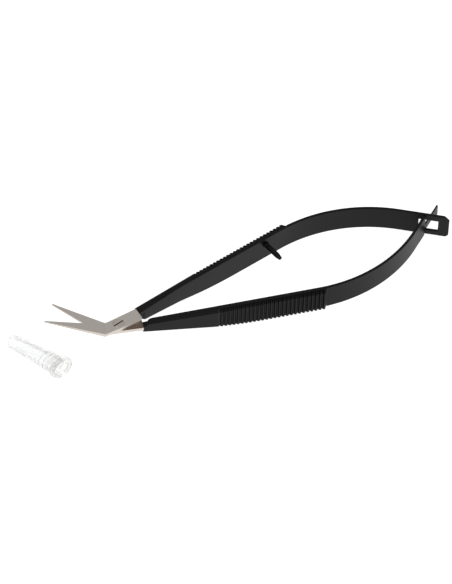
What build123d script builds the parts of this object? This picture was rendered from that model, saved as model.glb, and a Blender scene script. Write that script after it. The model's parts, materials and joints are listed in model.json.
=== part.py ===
"""Spring-action thread snips with bent blades, and their tip cap.

Two steel arms cross at a flush pivot screw in front and hook through each
other at the tail, so that their bowed spring strips push the handles apart.
The snips lie on their lower side edges.  Everything is built round the pivot:
X runs back along the centre line to the tail, Y points to the slotted arm and
Z = 0 is the plane where the two blades slide on each other.  At the end it is
all moved, so that the origin is the middle of the underside.
"""
from build123d import *
import os
from math import acos, atan2, copysign, cos, degrees, hypot, radians, sin, sqrt, tan

os.makedirs("parts", exist_ok=True)

# ---- arms, in mm and degrees ----
arm_height = 7.85          # height of grips and springs
arm_spread = 11.6          # each handle's angle from the centre line, at rest
squeeze_angle = 18.0       # turn of one arm against the other, open to closed
inner_offset = 0.25        # pivot axis to the plane of a grip's inner face

# ---- grips ----
coating_line = 6.8         # pivot to the line where the black coating starts
front_run = 7.0            # where the sizes of a grip's front end are taken
front_thickness = 1.8      # thickness of a grip there
front_height = 3.9         # height of a grip there
grip_thickness = 2.25      # thickness over the ridges
grip_edge = 0.55           # bevel along a grip's outer edges
underside_slope = 8.3      # rise of the underside towards the front
underside_end = 42.0       # from here back a grip has its full height
heel_thickness = 0.9       # thickening of the slotted arm's grip on its inside
heel_end = 22.0            # where that thickening has run out
ridge_start = 29.25
ridge_pitch = 1.2
ridge_count = 26
ridge_land = 0.35          # flat on top of a ridge
groove_floor = 0.25        # flat at the bottom of a groove
ridge_depth_front = 0.25
ridge_depth_back = 0.4
ramp_run = 1.0             # from the last ridge down to the spring strip
ramp_hollow = 0.25         # how far that ramp is dished
layer_clearance = 8.0      # round the pivot each arm keeps to its own layer
layer_corner = 1.8         # rounding of a grip's front corner in the other layer

# ---- spring strips ----
strip_thickness = 0.85
bow_lead = 1.5             # the strip starts to bend this far before the last ridge ends
bow_radius = 42.8          # radius of the inner face
bow_turn = 48.4            # turn of the strip from the grip to the straight tail
root_length = 5.4          # from the grip to where the strip flexes most
flex_step = 18.0           # from there to where its rear half flexes
flex_gap = 0.05            # running gap in the rounded joints there

# ---- tail ----
frame_overhang = 6.9       # slotted arm's end beyond the crossing
frame_top_corner = 1.4
frame_bottom_corner = 0.8
window_front = 2.0         # window before the crossing
window_back = 3.75         # window beyond the crossing
window_top = 1.9           # above mid height
window_bottom = 2.3        # below mid height
window_corner = 0.5        # rounding of the window's lower corners
hook_thickness = 0.5       # the hook is thinned from its inner side
hook_shoulder = 0.9        # full height stops this far before the crossing
hook_neck_top = 0.4        # neck that lies in the window, above mid height
hook_neck_bottom = 2.1     # and below it
hook_barb_start = 5.3      # barb beyond the window
hook_barb_end = 7.8
hook_barb_bottom = 3.5     # barb's end below mid height
hook_end_slope = 0.2       # lean of the end face

# ---- blades ----
plate_thickness = 1.12
plate_tilt = -4.9          # angle of the closed plates to the centre line
plate_left = 2.3           # plate's sides at its back end, from the pivot line
plate_right = 2.15
plate_corner = 1.1
bend_inside = (-3.6, 1.77)       # corners of the bend, from the pivot
bend_outside = (-5.35, -1.9)
slot_blade_turn = 41.0     # turn of the slotted arm's blade at the bend
hook_blade_turn = 43.1     # turn of the hooked arm's blade
slot_blade_length = 17.25
hook_blade_length = 16.9
tip_width = 0.45
tip_thickness = 0.35
edge_thickness = 0.8       # height at the bend where the ground face meets the cutting side
blade_gap = 0.01           # each plate's distance from the sliding plane

# ---- pivot screw ----
head_diameter = 3.1
head_height = 0.45
screw_diameter = 2.2
slot_length = 3.2          # right across the head
slot_width = 0.45
slot_depth = 0.28
slot_angle = 15.0
screw_play = 0.04          # running gap round the screw in the upper plate
head_play = 0.02           # gap under the head

# ---- stop pin ----
pin_back = 6.8             # pin stands this far before the last ridge ends
pin_drop = 2.52            # top of the grip to the pin's middle
pin_diameter = 1.6
collar_diameter = 1.9
collar_height = 0.5
root_diameter = 1.05
root_depth = 1.3
pin_taper = 1.6
pin_tip_diameter = 1.05
pocket_diameter = 2.2      # hole in the other grip that takes the pin's end
pocket_depth = 1.5
pocket_play = 0.12         # pin's end to the hole's floor, when closed

# ---- tip cap ----
cap_length = 19.6
rim_diameter = 7.0
rim_length = 1.0
rim_edge = 0.25            # rounding of the rim's edges
mouth_turn = 13.7          # open end slants this much to one side, and the ribs with it
tube_front_diameter = 5.9  # behind the rim
tube_end_diameter = 4.4    # at the start of the round end
bore_diameter = 4.5
bore_length = 8.0
cap_end_wall = 0.7
rib_count = 3
rib_start = 2.6            # open end to the first rib
rib_pitch = 1.6
rib_height = 0.15
rib_width = 0.5
notch_width = 1.2
notch_depth = 1.3          # right through the rim
notch_turn = -8.0          # notch round from the lowest point of the rim
cap_place = (-19.6, -5.05)       # middle of the open end, from the pivot
cap_heading = 116.7        # way the closed end points

# ---- values that follow from these ----
big = 200.0
half_squeeze = squeeze_angle / 2
half_strip = strip_thickness / 2
arm_top = plate_thickness
arm_bottom = arm_top - arm_height
arm_middle = (arm_top + arm_bottom) / 2
outer_face = inner_offset + grip_thickness
ridge_end = ridge_start + ridge_pitch * (ridge_count - 1) + ridge_land
grip_end = ridge_end + ramp_run
bow_start = ridge_end - bow_lead
flex_front = grip_end + root_length
flex_back = flex_front + flex_step
pin_run = ridge_end - pin_back
bow_centre = (bow_start, inner_offset - bow_radius)
tail_start = bow_start + bow_radius * radians(bow_turn)
closed_spread = arm_spread - half_squeeze
closed_gap = 2 * inner_offset * cos(radians(closed_spread)) + pin_run * tan(radians(2 * closed_spread))
pin_length = closed_gap + pocket_depth - pocket_play


# ---- helpers ----

def beside(point, angle, length):
    """Point at a distance from another, in the direction of an angle."""
    return (point[0] + length * cos(radians(angle)), point[1] + length * sin(radians(angle)))


def prism(points, low, high):
    """Straight-sided solid over an outline of points."""
    outline = make_face(Polyline(*points, close=True))
    return Pos(0, 0, low) * extrude(outline, high - low)


def upright(diameter, point, low, high):
    """Upright cylinder."""
    return Pos(point[0], point[1], (low + high) / 2) * Cylinder(diameter / 2, high - low)


def behind(point, angle):
    """Cutter for everything behind a point, looking along an angle."""
    return Pos(point[0], point[1]) * Rot(0, 0, angle) * Pos(-big / 2, 0) * Box(big, big, big)


def slotted(shape):
    """Turn a shape from an arm's own frame into the slotted arm."""
    return Rot(0, 0, arm_spread) * shape


def hooked(shape):
    """Turn a shape from an arm's own frame into the hooked arm."""
    return Rot(0, 0, -arm_spread) * mirror(shape, about=Plane.XZ)


# ---- spring strips, in an arm's own frame ----

def strip_angle(run):
    """Direction of the strip at a run along its inner face."""
    turned = degrees((run - bow_start) / bow_radius)
    return -min(max(turned, 0), bow_turn)


def strip_point(run, offset):
    """Point on the strip at a run, offset outwards from its inner face."""
    angle = strip_angle(run)
    on_bow = beside(bow_centre, 90 + angle, bow_radius + offset)
    straight = max(run - tail_start, 0) + min(run - bow_start, 0)
    return beside(on_bow, angle, straight)


tail_point = strip_point(tail_start, half_strip)
tail_side = tail_point[0] * sin(radians(arm_spread)) + tail_point[1] * cos(radians(arm_spread))
crossing = tail_start + tail_side / sin(radians(bow_turn - arm_spread))
crossing_point = strip_point(crossing, half_strip)
at_crossing = Pos(crossing_point[0], crossing_point[1], arm_middle) * Rot(0, 0, -bow_turn) * Rot(90, 0, 0)


def ribbon(end):
    """Strip from the start of its bow to a run along its inner face."""
    inner = CenterArc(bow_centre, bow_radius, 90, -bow_turn)
    outer = CenterArc(bow_centre, bow_radius + strip_thickness, 90, -bow_turn)
    tail = Polyline(inner @ 1, strip_point(end, 0), strip_point(end, strip_thickness), outer @ 1)
    front = Line(inner @ 0, outer @ 0)
    outline = make_face(Curve() + [inner, tail, outer, front])
    return Pos(0, 0, arm_bottom) * extrude(outline, arm_height)


def cut_front(strip, run):
    """Cut a strip off in front of a run, hollowed to turn on a rounded end."""
    place = strip_point(run, half_strip)
    hollow = upright(strip_thickness + 2 * flex_gap, place, arm_bottom, arm_top)
    return strip - behind(place, strip_angle(run)) - hollow


def cut_back(strip, run):
    """Cut a strip off behind a run, with a rounded end."""
    place = strip_point(run, half_strip)
    rounded = upright(strip_thickness, place, arm_bottom, arm_top)
    return (strip & behind(place, strip_angle(run))) + rounded


def strip_tail(overhang, outlines):
    """Rear piece of a strip, with outlines cut through it; x is 0 at the crossing, y at mid height."""
    tail = cut_front(ribbon(crossing + overhang), flex_back)
    for points in outlines:
        waste = make_face(Polyline(*points, close=True))
        tail -= at_crossing * extrude(waste, strip_thickness, both=True)
    return tail


def slotted_tail():
    """Tail with the window that takes the hook, and clipped corners."""
    half_height = arm_height / 2
    outlines = []
    for side, corner in ((1, frame_top_corner), (-1, frame_bottom_corner)):
        clip = [
            (frame_overhang, side * half_height),
            (frame_overhang - corner, side * half_height),
            (frame_overhang, side * (half_height - corner)),
        ]
        outlines.append(clip)
    window = FilletPolyline(
        (-window_front, 0),
        (-window_front, -window_bottom),
        (window_back, -window_bottom),
        (window_back, 0),
        radius=window_corner,
    )
    rest = Polyline(window @ 1, (window_back, window_top), (-window_front, window_top), window @ 0)
    opening = make_face(Curve() + [window, rest])
    return strip_tail(frame_overhang, outlines) - at_crossing * extrude(opening, strip_thickness, both=True)


def hooked_tail():
    """Tail with a narrow neck and a barb that hangs down beyond the window."""
    beyond = arm_height
    overhang = hook_barb_end + hook_end_slope
    top = [
        (-hook_shoulder, beyond),
        (-hook_shoulder, hook_neck_top),
        (beyond + overhang, hook_neck_top),
        (beyond + overhang, beyond),
    ]
    neck = [
        (-hook_shoulder, -beyond),
        (-hook_shoulder, -hook_neck_bottom),
        (hook_barb_start, -hook_neck_bottom),
        (hook_barb_start, -beyond),
    ]
    barb = [
        (hook_barb_end, beyond),
        (hook_barb_end, hook_neck_top),
        (overhang, -hook_barb_bottom),
        (0, -hook_barb_bottom),
        (0, -beyond),
        (beyond + overhang, -beyond),
        (beyond + overhang, beyond),
    ]
    thinning = 2 * (strip_thickness - hook_thickness)
    inner_side = at_crossing * Pos(big / 2 - hook_shoulder, 0, half_strip) * Box(big, big, thinning)
    return strip_tail(overhang, [top, neck, barb]) - inner_side


# ---- grips, in an arm's own frame ----

def grooves():
    """Cutter for the grooves between the ridges, square to a grip's outer face."""
    mouth = (ridge_pitch - ridge_land) / 2
    floor = groove_floor / 2
    cutter = Part()
    for index in range(ridge_count):
        back = index / (ridge_count - 1)
        depth = ridge_depth_front + (ridge_depth_back - ridge_depth_front) * back
        middle = ridge_start + index * ridge_pitch - mouth
        points = [
            (middle - mouth, outer_face + grip_thickness),
            (middle - mouth, outer_face),
            (middle - floor, outer_face - depth),
            (middle + floor, outer_face - depth),
            (middle + mouth, outer_face),
            (middle + mouth, outer_face + grip_thickness),
        ]
        cutter += prism(points, -arm_height, arm_height)
    return cutter


def ridged(shape):
    """Cut the grooves into a grip's outer face and on over both of its bevels."""
    comb = grooves()
    shape -= Pos(0, 0, arm_middle) * comb
    for edge, lean in ((arm_top - grip_edge, 45), (arm_bottom + grip_edge, -45)):
        shape -= Pos(0, outer_face, edge) * Rot(lean, 0, 0) * Pos(0, -outer_face) * comb
    return shape


def grip_plan(heel):
    """Outline of a grip from above; heel thickens its front inwards."""
    front = front_run / 2
    heel_slope = heel / (heel_end - front_run)
    lead_slope = (grip_thickness - front_thickness) / (ridge_start - front_run)
    lead_start = inner_offset + front_thickness - lead_slope * (front_run - front)
    inner = CenterArc(bow_centre, bow_radius, 90, strip_angle(grip_end))
    ramp_foot = strip_point(grip_end, strip_thickness)
    ramp_middle = ((ridge_end + ramp_foot[0]) / 2, (outer_face + ramp_foot[1]) / 2)
    ramp_across = degrees(atan2(ramp_foot[1] - outer_face, ramp_foot[0] - ridge_end)) - 90
    dish = beside(ramp_middle, ramp_across, ramp_hollow)
    ramp = ThreePointArc(ramp_foot, dish, (ridge_end, outer_face))
    end = Line(inner @ 1, ramp_foot)
    rest = Polyline(
        (ridge_end, outer_face),
        (ridge_start, outer_face),
        (front, lead_start),
        (front, inner_offset - heel_slope * (heel_end - front)),
        (heel_end, inner_offset),
        inner @ 0,
    )
    return make_face(Curve() + [inner, end, ramp, rest])


def grip_side():
    """Side outline of a grip: flat on top, rising underneath towards the front."""
    slope = tan(radians(underside_slope))
    front = front_run / 2
    knee = front_run + (arm_height - front_height) / slope
    rounding = (underside_end - knee) / tan(radians(underside_slope / 2))
    underside = FilletPolyline(
        (front, arm_top - front_height + slope * (front_run - front)),
        (knee, arm_bottom),
        (grip_end + arm_height, arm_bottom),
        radius=rounding,
    )
    rest = Polyline(underside @ 1, (grip_end + arm_height, arm_top), (front, arm_top), underside @ 0)
    return make_face(Curve() + [underside, rest])


def bevelled_block():
    """Side outline as a block up to the outer face, with its long outer edges bevelled."""
    side = grip_side()
    inside = Pos(0, 0, outer_face - grip_edge - arm_height) * extrude(side, arm_height)
    outside = Pos(0, 0, outer_face - grip_edge) * extrude(side, grip_edge, taper=45)
    return mirror(Rot(90, 0, 0) * (inside + outside), about=Plane.XZ)


def grip(heel, layer_low, layer_high):
    """Grip in an arm's own frame; the other arm's layer is cleared near the pivot."""
    lead = degrees(atan2(grip_thickness - front_thickness, ridge_start - front_run))
    turn = Pos(ridge_start, outer_face) * Rot(0, 0, lead) * Pos(-ridge_start, -outer_face)
    shape = Pos(0, 0, arm_bottom) * extrude(grip_plan(heel), arm_height)
    shape = ridged(shape & bevelled_block() & (turn * bevelled_block()))
    corner_side = inner_offset - heel + layer_corner
    corner_run = sqrt((layer_clearance + layer_corner) ** 2 - corner_side ** 2)
    corner = prism(
        [(0, -big), (corner_run, -big), (corner_run, corner_side), (0, corner_side)],
        layer_low,
        layer_high,
    )
    corner -= upright(2 * layer_corner, (corner_run, corner_side), layer_low, layer_high)
    shape -= upright(2 * layer_clearance, (0, 0), layer_low, layer_high)
    return shape - corner


# ---- blades ----

def blade(turn, length, back_corner, edge_corner, rounded_side):
    """Pivot plate and bent blade of the upper layer, along its own X axis, ground down to its cutting side."""
    heading = 180 - turn
    bend = ((bend_inside[0] + bend_outside[0]) / 2, (bend_inside[1] + bend_outside[1]) / 2)
    point = beside(bend, heading, length)
    shoulder = beside(bend, heading, length - tip_width / 2)
    left = beside(shoulder, heading + 90, tip_width / 2)
    right = beside(shoulder, heading - 90, tip_width / 2)
    end = ThreePointArc(left, point, right)
    rest = Polyline(
        right,
        bend_inside,
        (coating_line, plate_left),
        (coating_line, -plate_right),
        bend_outside,
        left,
    )
    outline = make_face(Curve() + [end, rest])
    corner = (coating_line, rounded_side)
    sharp = outline.vertices().sort_by_distance(corner)[0]
    outline = fillet(sharp, plate_corner)
    shape = Pos(0, 0, blade_gap) * extrude(outline, plate_thickness - blade_gap)
    high = Vector(*back_corner, plate_thickness)
    low = Vector(*edge_corner, edge_thickness)
    thin = Vector(*point, tip_thickness)
    facing = (thin - high).cross(low - high)
    ground = Plane(origin=high, z_dir=facing * copysign(1, facing.Z))
    miter = degrees(atan2(bend_inside[1] - bend_outside[1], bend_inside[0] - bend_outside[0]))
    above = ground.location * Pos(0, 0, big / 2) * Box(big, big, big)
    return shape - (above & behind(bend, miter - 90))


def screw_hole(play, low, high):
    """Hole for the pivot screw's shank."""
    return upright(screw_diameter + 2 * play, (0, 0), low, high)


# ---- stop pin and its pocket ----

def stop_pin():
    """Pin that stands on the slotted arm's inner face, along its own Z axis."""
    shank = pin_length - pin_taper
    pin = Pos(0, 0, (shank - root_depth) / 2) * Cylinder(root_diameter / 2, shank + root_depth)
    pin += Pos(0, 0, collar_height / 2) * Cylinder(collar_diameter / 2, collar_height)
    pin += Pos(0, 0, shank / 2) * Cylinder(pin_diameter / 2, shank)
    return pin + Pos(0, 0, shank + pin_taper / 2) * Cone(pin_diameter / 2, pin_tip_diameter / 2, pin_taper)


# ---- tip cap ----

def revolved(points):
    """Solid turned round the Z axis from an outline in x and z."""
    outline = Plane.XZ * make_face(Polyline(*points, close=True))
    return revolve(outline, Axis.Z)


def tip_cap():
    """Cap along its own Z axis, from the middle of the open end to the closed end."""
    round_start = cap_length - tube_end_diameter / 2
    inner_end_diameter = tube_end_diameter - 2 * cap_end_wall
    ahead = -rim_diameter / 2
    slant = Rot(mouth_turn, 0, 0)
    tube = [
        (0, ahead),
        (tube_front_diameter / 2, ahead),
        (tube_front_diameter / 2, rim_length),
        (tube_end_diameter / 2, round_start),
        (0, round_start),
    ]
    hollow = [
        (0, ahead),
        (bore_diameter / 2, ahead),
        (bore_diameter / 2, bore_length),
        (inner_end_diameter / 2, round_start),
        (0, round_start),
    ]
    cap = revolved(tube) + Pos(0, 0, round_start) * Sphere(tube_end_diameter / 2)
    rim = Pos(0, 0, rim_length / 2) * Cylinder(rim_diameter / 2, rim_length)
    cap += slant * fillet(rim.edges().filter_by(GeomType.CIRCLE), rim_edge)
    narrowing = (tube_front_diameter - tube_end_diameter) / 2 / (round_start - rim_length)
    for index in range(rib_count):
        place = rib_start + index * rib_pitch
        radius = tube_front_diameter / 2 - narrowing * (place - rim_length)
        cap += Pos(0, 0, place) * slant * Cylinder(radius + rib_height, rib_width)
    cap -= revolved(hollow) + Pos(0, 0, round_start) * Sphere(inner_end_diameter / 2)
    cap -= slant * Pos(0, 0, -big / 2) * Box(big, big, big)
    notch = Pos(rim_diameter / 2, 0, rim_length / 2) * Box(2 * notch_depth, notch_width, 2 * rim_length)
    return cap - slant * Rot(0, 0, notch_turn) * notch


# ---- put the pieces together, round the pivot ----

slot_plate = Rot(0, 0, plate_tilt + half_squeeze)
hook_plate = Rot(0, 0, plate_tilt - half_squeeze)
slot_front = behind(beside((0, 0), plate_tilt + half_squeeze, coating_line), plate_tilt + half_squeeze)
hook_front = behind(beside((0, 0), plate_tilt - half_squeeze, coating_line), plate_tilt - half_squeeze)
head_floor = plate_thickness - head_height
shapes = {}

slot_blade = slot_plate * blade(slot_blade_turn, slot_blade_length, bend_outside, bend_inside, -plate_right)
slot_blade -= screw_hole(screw_play, -1, plate_thickness + 1)
slot_blade -= upright(head_diameter + 2 * screw_play, (0, 0), head_floor - head_play, plate_thickness + 1)
shapes["slot_blade"] = slot_blade
hook_blade = blade(hook_blade_turn, hook_blade_length, bend_inside, bend_outside, plate_left)
hook_blade = hook_plate * mirror(hook_blade, about=Plane.XY)
shapes["hook_blade"] = hook_blade - screw_hole(0, -plate_thickness - 1, 1)

screw = screw_hole(0, -plate_thickness, head_floor) + upright(head_diameter, (0, 0), head_floor, plate_thickness)
screw_slot = Pos(0, 0, plate_thickness) * Rot(0, 0, slot_angle) * Box(slot_length, slot_width, 2 * slot_depth)
shapes["pivot_screw"] = screw - screw_slot

pin_height = arm_top - pin_drop
pin_place = Pos(pin_run, inner_offset, pin_height) * Rot(90, 0, 0)
pocket_run = pin_run + pin_length * tan(radians(closed_spread))
pocket_place = Pos(pocket_run, inner_offset, pin_height) * Rot(90, 0, 0)
root_hole = pin_place * Cylinder(root_diameter / 2, 2 * root_depth)
pocket = pocket_place * Cylinder(pocket_diameter / 2, 2 * pocket_depth)
shapes["stop_pin"] = slotted(pin_place * stop_pin())

slot_grip = grip(heel_thickness, arm_bottom - 1, blade_gap) - root_hole
hook_grip = grip(0, -blade_gap, arm_top + 1) - pocket
shapes["slot_grip"] = slotted(slot_grip) - slot_front
shapes["hook_grip"] = hooked(hook_grip) - hook_front

strip = ribbon(crossing)
strip_front = strip_point(grip_end, half_strip)
strip_root = cut_back(strip, flex_front) - behind(strip_front, strip_angle(grip_end))
strip_bow = cut_front(cut_back(strip, flex_back), flex_front)
for arm, place, tail in (("slot", slotted, slotted_tail()), ("hook", hooked, hooked_tail())):
    shapes[arm + "_strip_root"] = place(strip_root)
    shapes[arm + "_strip_bow"] = place(strip_bow)
    shapes[arm + "_strip_tail"] = place(tail)

reach = cap_length - tube_end_diameter / 2 - rim_length + rim_edge
rim_side = rim_diameter / 2 - rim_edge
drop = tube_end_diameter / 2 - rim_edge
lean = degrees(acos(drop / hypot(rim_side, reach)) - atan2(reach, rim_side))
cap = Rot(0, 0, cap_heading) * Rot(0, 90 + lean, 0) * tip_cap()
rim_middle = (*cap_place, arm_bottom - cap.bounding_box().min.Z)
shapes["tip_cap"] = Pos(*rim_middle) * cap

# ---- move the origin to the middle of the underside, and write the files ----

boxes = [shape.bounding_box() for shape in shapes.values()]
middle_x = (min(box.min.X for box in boxes) + max(box.max.X for box in boxes)) / 2
middle_y = (min(box.min.Y for box in boxes) + max(box.max.Y for box in boxes)) / 2
lowest = min(box.min.Z for box in boxes)
origin = Pos(-middle_x, -middle_y, -lowest)
for name, shape in shapes.items():
    export_step(origin * shape, "parts/" + name + ".step")

places = {
    "pivot": (0, 0, 0),
    "pin": slotted(pin_place).position,
    "cap_rim": rim_middle,
}
for name, place in places.items():
    print(name, origin * Pos(*place))
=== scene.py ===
"""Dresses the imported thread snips: bevelled steel, coated grips, bowed springs and the clear tip cap."""
import bmesh
import bpy
import json
from bpy.props import FloatProperty, FloatVectorProperty, IntProperty, PointerProperty
from math import cos, pi, radians, sin, sqrt, tan
from mathutils import Matrix, Vector


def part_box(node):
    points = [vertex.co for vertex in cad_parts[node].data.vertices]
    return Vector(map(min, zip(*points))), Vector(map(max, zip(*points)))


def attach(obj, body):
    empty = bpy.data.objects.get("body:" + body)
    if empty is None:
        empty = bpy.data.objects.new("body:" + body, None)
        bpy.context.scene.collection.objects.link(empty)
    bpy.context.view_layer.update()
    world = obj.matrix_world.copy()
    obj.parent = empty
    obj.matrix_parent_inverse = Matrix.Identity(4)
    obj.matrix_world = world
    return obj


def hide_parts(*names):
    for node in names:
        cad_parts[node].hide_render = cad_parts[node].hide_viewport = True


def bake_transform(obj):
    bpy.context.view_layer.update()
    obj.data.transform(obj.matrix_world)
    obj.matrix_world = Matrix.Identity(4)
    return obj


bl_info = {
    "name": "Thread Snips",
    "version": (1, 0, 0),
    "blender": (4, 5, 0),
    "location": "3D View > Sidebar > Snips",
    "description": "Makes the visible pieces of spring-action thread snips round their packed frame",
    "category": "Object",
}

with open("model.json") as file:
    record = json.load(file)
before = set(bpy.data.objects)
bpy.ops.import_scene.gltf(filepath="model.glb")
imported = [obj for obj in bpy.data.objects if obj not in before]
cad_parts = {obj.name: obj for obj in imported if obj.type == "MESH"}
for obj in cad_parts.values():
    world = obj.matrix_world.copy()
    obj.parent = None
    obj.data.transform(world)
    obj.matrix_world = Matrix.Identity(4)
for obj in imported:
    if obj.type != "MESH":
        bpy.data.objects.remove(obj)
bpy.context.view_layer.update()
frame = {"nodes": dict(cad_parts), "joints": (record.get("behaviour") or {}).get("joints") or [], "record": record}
mm = 0.001
round_steps = 72                          # sides of the cap's round parts
joint_place = {joint["name"]: Vector(joint["pos_m"]) for joint in frame["joints"] if "pos_m" in joint}
pivot = joint_place["squeeze"]
arm_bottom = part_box("slot_grip")[0].z - pivot.z
arm_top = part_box("slot_grip")[1].z - pivot.z
arms = (("slot", 1), ("hook", -1))        # each arm's name and its side of the centre line


def from_hex(code):
    """Linear colour of an sRGB hex value."""
    parts = [int(code[place:place + 2], 16) / 255 for place in (0, 2, 4)]
    linear = [part / 12.92 if part <= 0.04045 else ((part + 0.055) / 1.055) ** 2.4 for part in parts]
    return (*linear, 1.0)


def length(name, default, description):
    """Property for a length, given in millimetres."""
    return FloatProperty(name=name, default=default * mm, description=description, unit="LENGTH", precision=5)


def turn(name, default, description):
    """Property for an angle, given in degrees."""
    return FloatProperty(name=name, default=radians(default), description=description, unit="ROTATION")


def colour(name, default, description):
    """Property for a colour, given in hex."""
    return FloatVectorProperty(
        name=name, default=from_hex(default), description=description, subtype="COLOR", size=4, min=0, max=1
    )


# ---- sizes and colours ----


class SnipsArmSizes(bpy.types.PropertyGroup):
    """Lines that the grips and springs of both arms follow."""

    spread: turn("Spread", 11.6, "Each handle's angle from the centre line, at rest")
    inner_offset: length("Inner Offset", 0.25, "Pivot axis to the plane of a grip's inner face")
    strip_thickness: length("Strip Thickness", 0.85, "Thickness of the spring strip")
    bow_start: length("Bow Start", 58.1, "Where the strip starts to bend, along its inner face")
    bow_radius: length("Bow Radius", 42.8, "Radius of the bowed strip's inner face")
    bow_turn: turn("Bow Turn", 48.4, "Turn of the strip from the grip to its straight tail")
    bow_seam: length("Bow Seam", 75.0, "Where the front and rear of a spring meet")
    tail_seam: length("Tail Seam", 95.0, "Where a spring's straight tail is taken over")
    flex_front_reach: length("Front Flex", 4.0, "Half of the length that flexes in front")
    flex_back_reach: length("Rear Flex", 6.0, "Half of the length that flexes at the back")
    edge: length("Edge Rounding", 0.1, "Rounding that the coating leaves on edges")


class SnipsGripSizes(bpy.types.PropertyGroup):
    """Grips and their ridges."""

    thickness: length("Thickness", 2.25, "Thickness over the ridges")
    bevel: length("Bevel", 0.55, "Bevel along the outer edges")
    ridge_start: length("Ridge Start", 29.25, "Pivot to the first ridge")
    ridge_pitch: length("Ridge Pitch", 1.2, "Distance from ridge to ridge")
    ridge_count: IntProperty(name="Ridges", default=26, min=2, description="Number of ridges on each grip")
    ridge_land: length("Ridge Land", 0.35, "Flat on top of a ridge")
    groove_floor: length("Groove Floor", 0.25, "Flat at the bottom of a groove")
    depth_front: length("Front Depth", 0.25, "Depth of the front groove")
    depth_back: length("Back Depth", 0.4, "Depth of the rear groove")
    seam: length("Seam", 28.2, "Where the ridged rear joins the plain front")
    lead_turn: turn("Lead Turn", 1.1586, "Angle at which the plain front narrows")
    ramp_run: length("Ramp", 1.0, "From the last ridge down to the spring strip")
    ramp_hollow: length("Ramp Hollow", 0.25, "How far that ramp is dished")
    pocket: length("Pocket", 2.2, "Diameter of the hole that takes the stop pin's end")
    pocket_run: length("Pocket Run", 53.104, "Pivot to that hole")
    pocket_drop: length("Pocket Drop", 2.52, "Top of the grip to the hole's middle")
    pocket_depth: length("Pocket Depth", 1.5, "Depth of that hole")
    underside_end: length("Underside End", 42.0, "From here back the grip has its full height")
    underside_radius: length("Underside Radius", 109.3, "Radius of the underside's rise")


class SnipsCapSizes(bpy.types.PropertyGroup):
    """Clear tip cap."""

    length: length("Length", 19.6, "Length of the cap")
    rim: length("Rim", 7.0, "Diameter of the rim at the open end")
    rim_length: length("Rim Length", 1.0, "Length of the rim")
    mouth_turn: turn("Mouth Turn", 13.7, "Slant of the open end and the ribs, to one side")
    front: length("Front Diameter", 5.9, "Diameter of the tube behind the rim")
    end: length("End Diameter", 4.4, "Diameter where the round end starts")
    bore: length("Bore", 4.5, "Diameter of the bore")
    bore_length: length("Bore Length", 8.0, "Depth of the straight bore")
    wall: length("End Wall", 0.7, "Wall of the narrow end")
    rib_count: IntProperty(name="Ribs", default=3, min=1, description="Number of ribs round the cap")
    rib_start: length("Rib Start", 2.6, "Open end to the first rib")
    rib_pitch: length("Rib Pitch", 1.6, "Distance from rib to rib")
    rib_height: length("Rib Height", 0.15, "How far a rib stands out")
    rib_width: length("Rib Width", 0.5, "Width of a rib")
    notch_width: length("Notch Width", 1.2, "Width of the notch in the rim")
    notch_depth: length("Notch Depth", 1.3, "Depth of the notch, which goes right through the rim")
    notch_turn: turn("Notch Turn", -8.0, "Notch round from the lowest point of the rim")


class SnipsFinishes(bpy.types.PropertyGroup):
    """Colours and rounded edges of the finishes."""

    coating: colour("Coating", "040405", "Satin black coating")
    blade: colour("Blade", "e2dad2", "Ground blade steel")
    screw: colour("Screw", "dad2ca", "Turned screw steel")
    # painted shadow: brown for the upper plate's shadow on the lower plate, behind the pivot
    plate_shadow: colour("Oil", "7a6c62", "Steel with old oil, where the plates rub")
    # painted shade and dirt: darker colour in the screw's slot, for the shade there and for some dirt
    dirt_and_shade: colour("Dirt", "4a443f", "Steel with dirt, in the screw's slot")
    cap: colour("Cap", "f7f8f8", "Clear moulded plastic")
    rim: colour("Cap Rim", "c6c6c0", "Thicker, milky plastic of the cap's rim and ribs")
    steel_edge: length("Steel Edge", 0.06, "Rounding of the blades' edges")
    screw_edge: length("Screw Edge", 0.084, "Rounding of the screw's edges")


class SnipsStage(bpy.types.PropertyGroup):
    """Place and lens of the camera."""

    view_turn: turn("View Turn", 25.09, "How far the camera stands round to the blades")
    view_height: turn("View Height", 49.18, "Angle of the camera above the floor")
    distance: length("Distance", 1111.0, "Camera to the pivot")
    aim_right: length("Aim Right", 30.1, "Aim beside the pivot, to the right in the view")
    aim_up: length("Aim Up", 8.68, "Aim above the pivot in the view")
    lens: FloatProperty(name="Lens", default=244.6, description="Focal length in millimetres")


# ---- meshes ----


def arm_place(side):
    """Matrix from an arm's own frame to the row frame; side is 1 for the slotted arm, -1 for the hooked."""
    spread = Matrix.Rotation(side * bpy.context.scene.snips_arm.spread, 4, "Z")
    return Matrix.Translation(pivot) @ spread @ Matrix.Diagonal((1, side, 1, 1))


def strip_line(run):
    """Point on a strip's inner face at a run, its outward direction and its direction along."""
    arm = bpy.context.scene.snips_arm
    turned = min(max((run - arm.bow_start) / arm.bow_radius, 0), arm.bow_turn)
    outward = Vector((sin(turned), cos(turned), 0))
    along = Vector((cos(turned), -sin(turned), 0))
    centre = Vector((arm.bow_start, arm.inner_offset - arm.bow_radius, 0))
    straight = run - arm.bow_start - arm.bow_radius * turned
    return centre + outward * arm.bow_radius + along * straight, outward, along


def rounded(corners, radius):
    """Outline with each corner of a closed polygon rounded."""
    points = []
    for index, corner in enumerate(corners):
        before = (corners[index - 1] - corner).normalized() * radius
        after = (corners[(index + 1) % len(corners)] - corner).normalized() * radius
        for part in (0, 1 / 3, 2 / 3, 1):
            points.append(corner + before * (1 - part) ** 2 + after * part ** 2)
    return points


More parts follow.
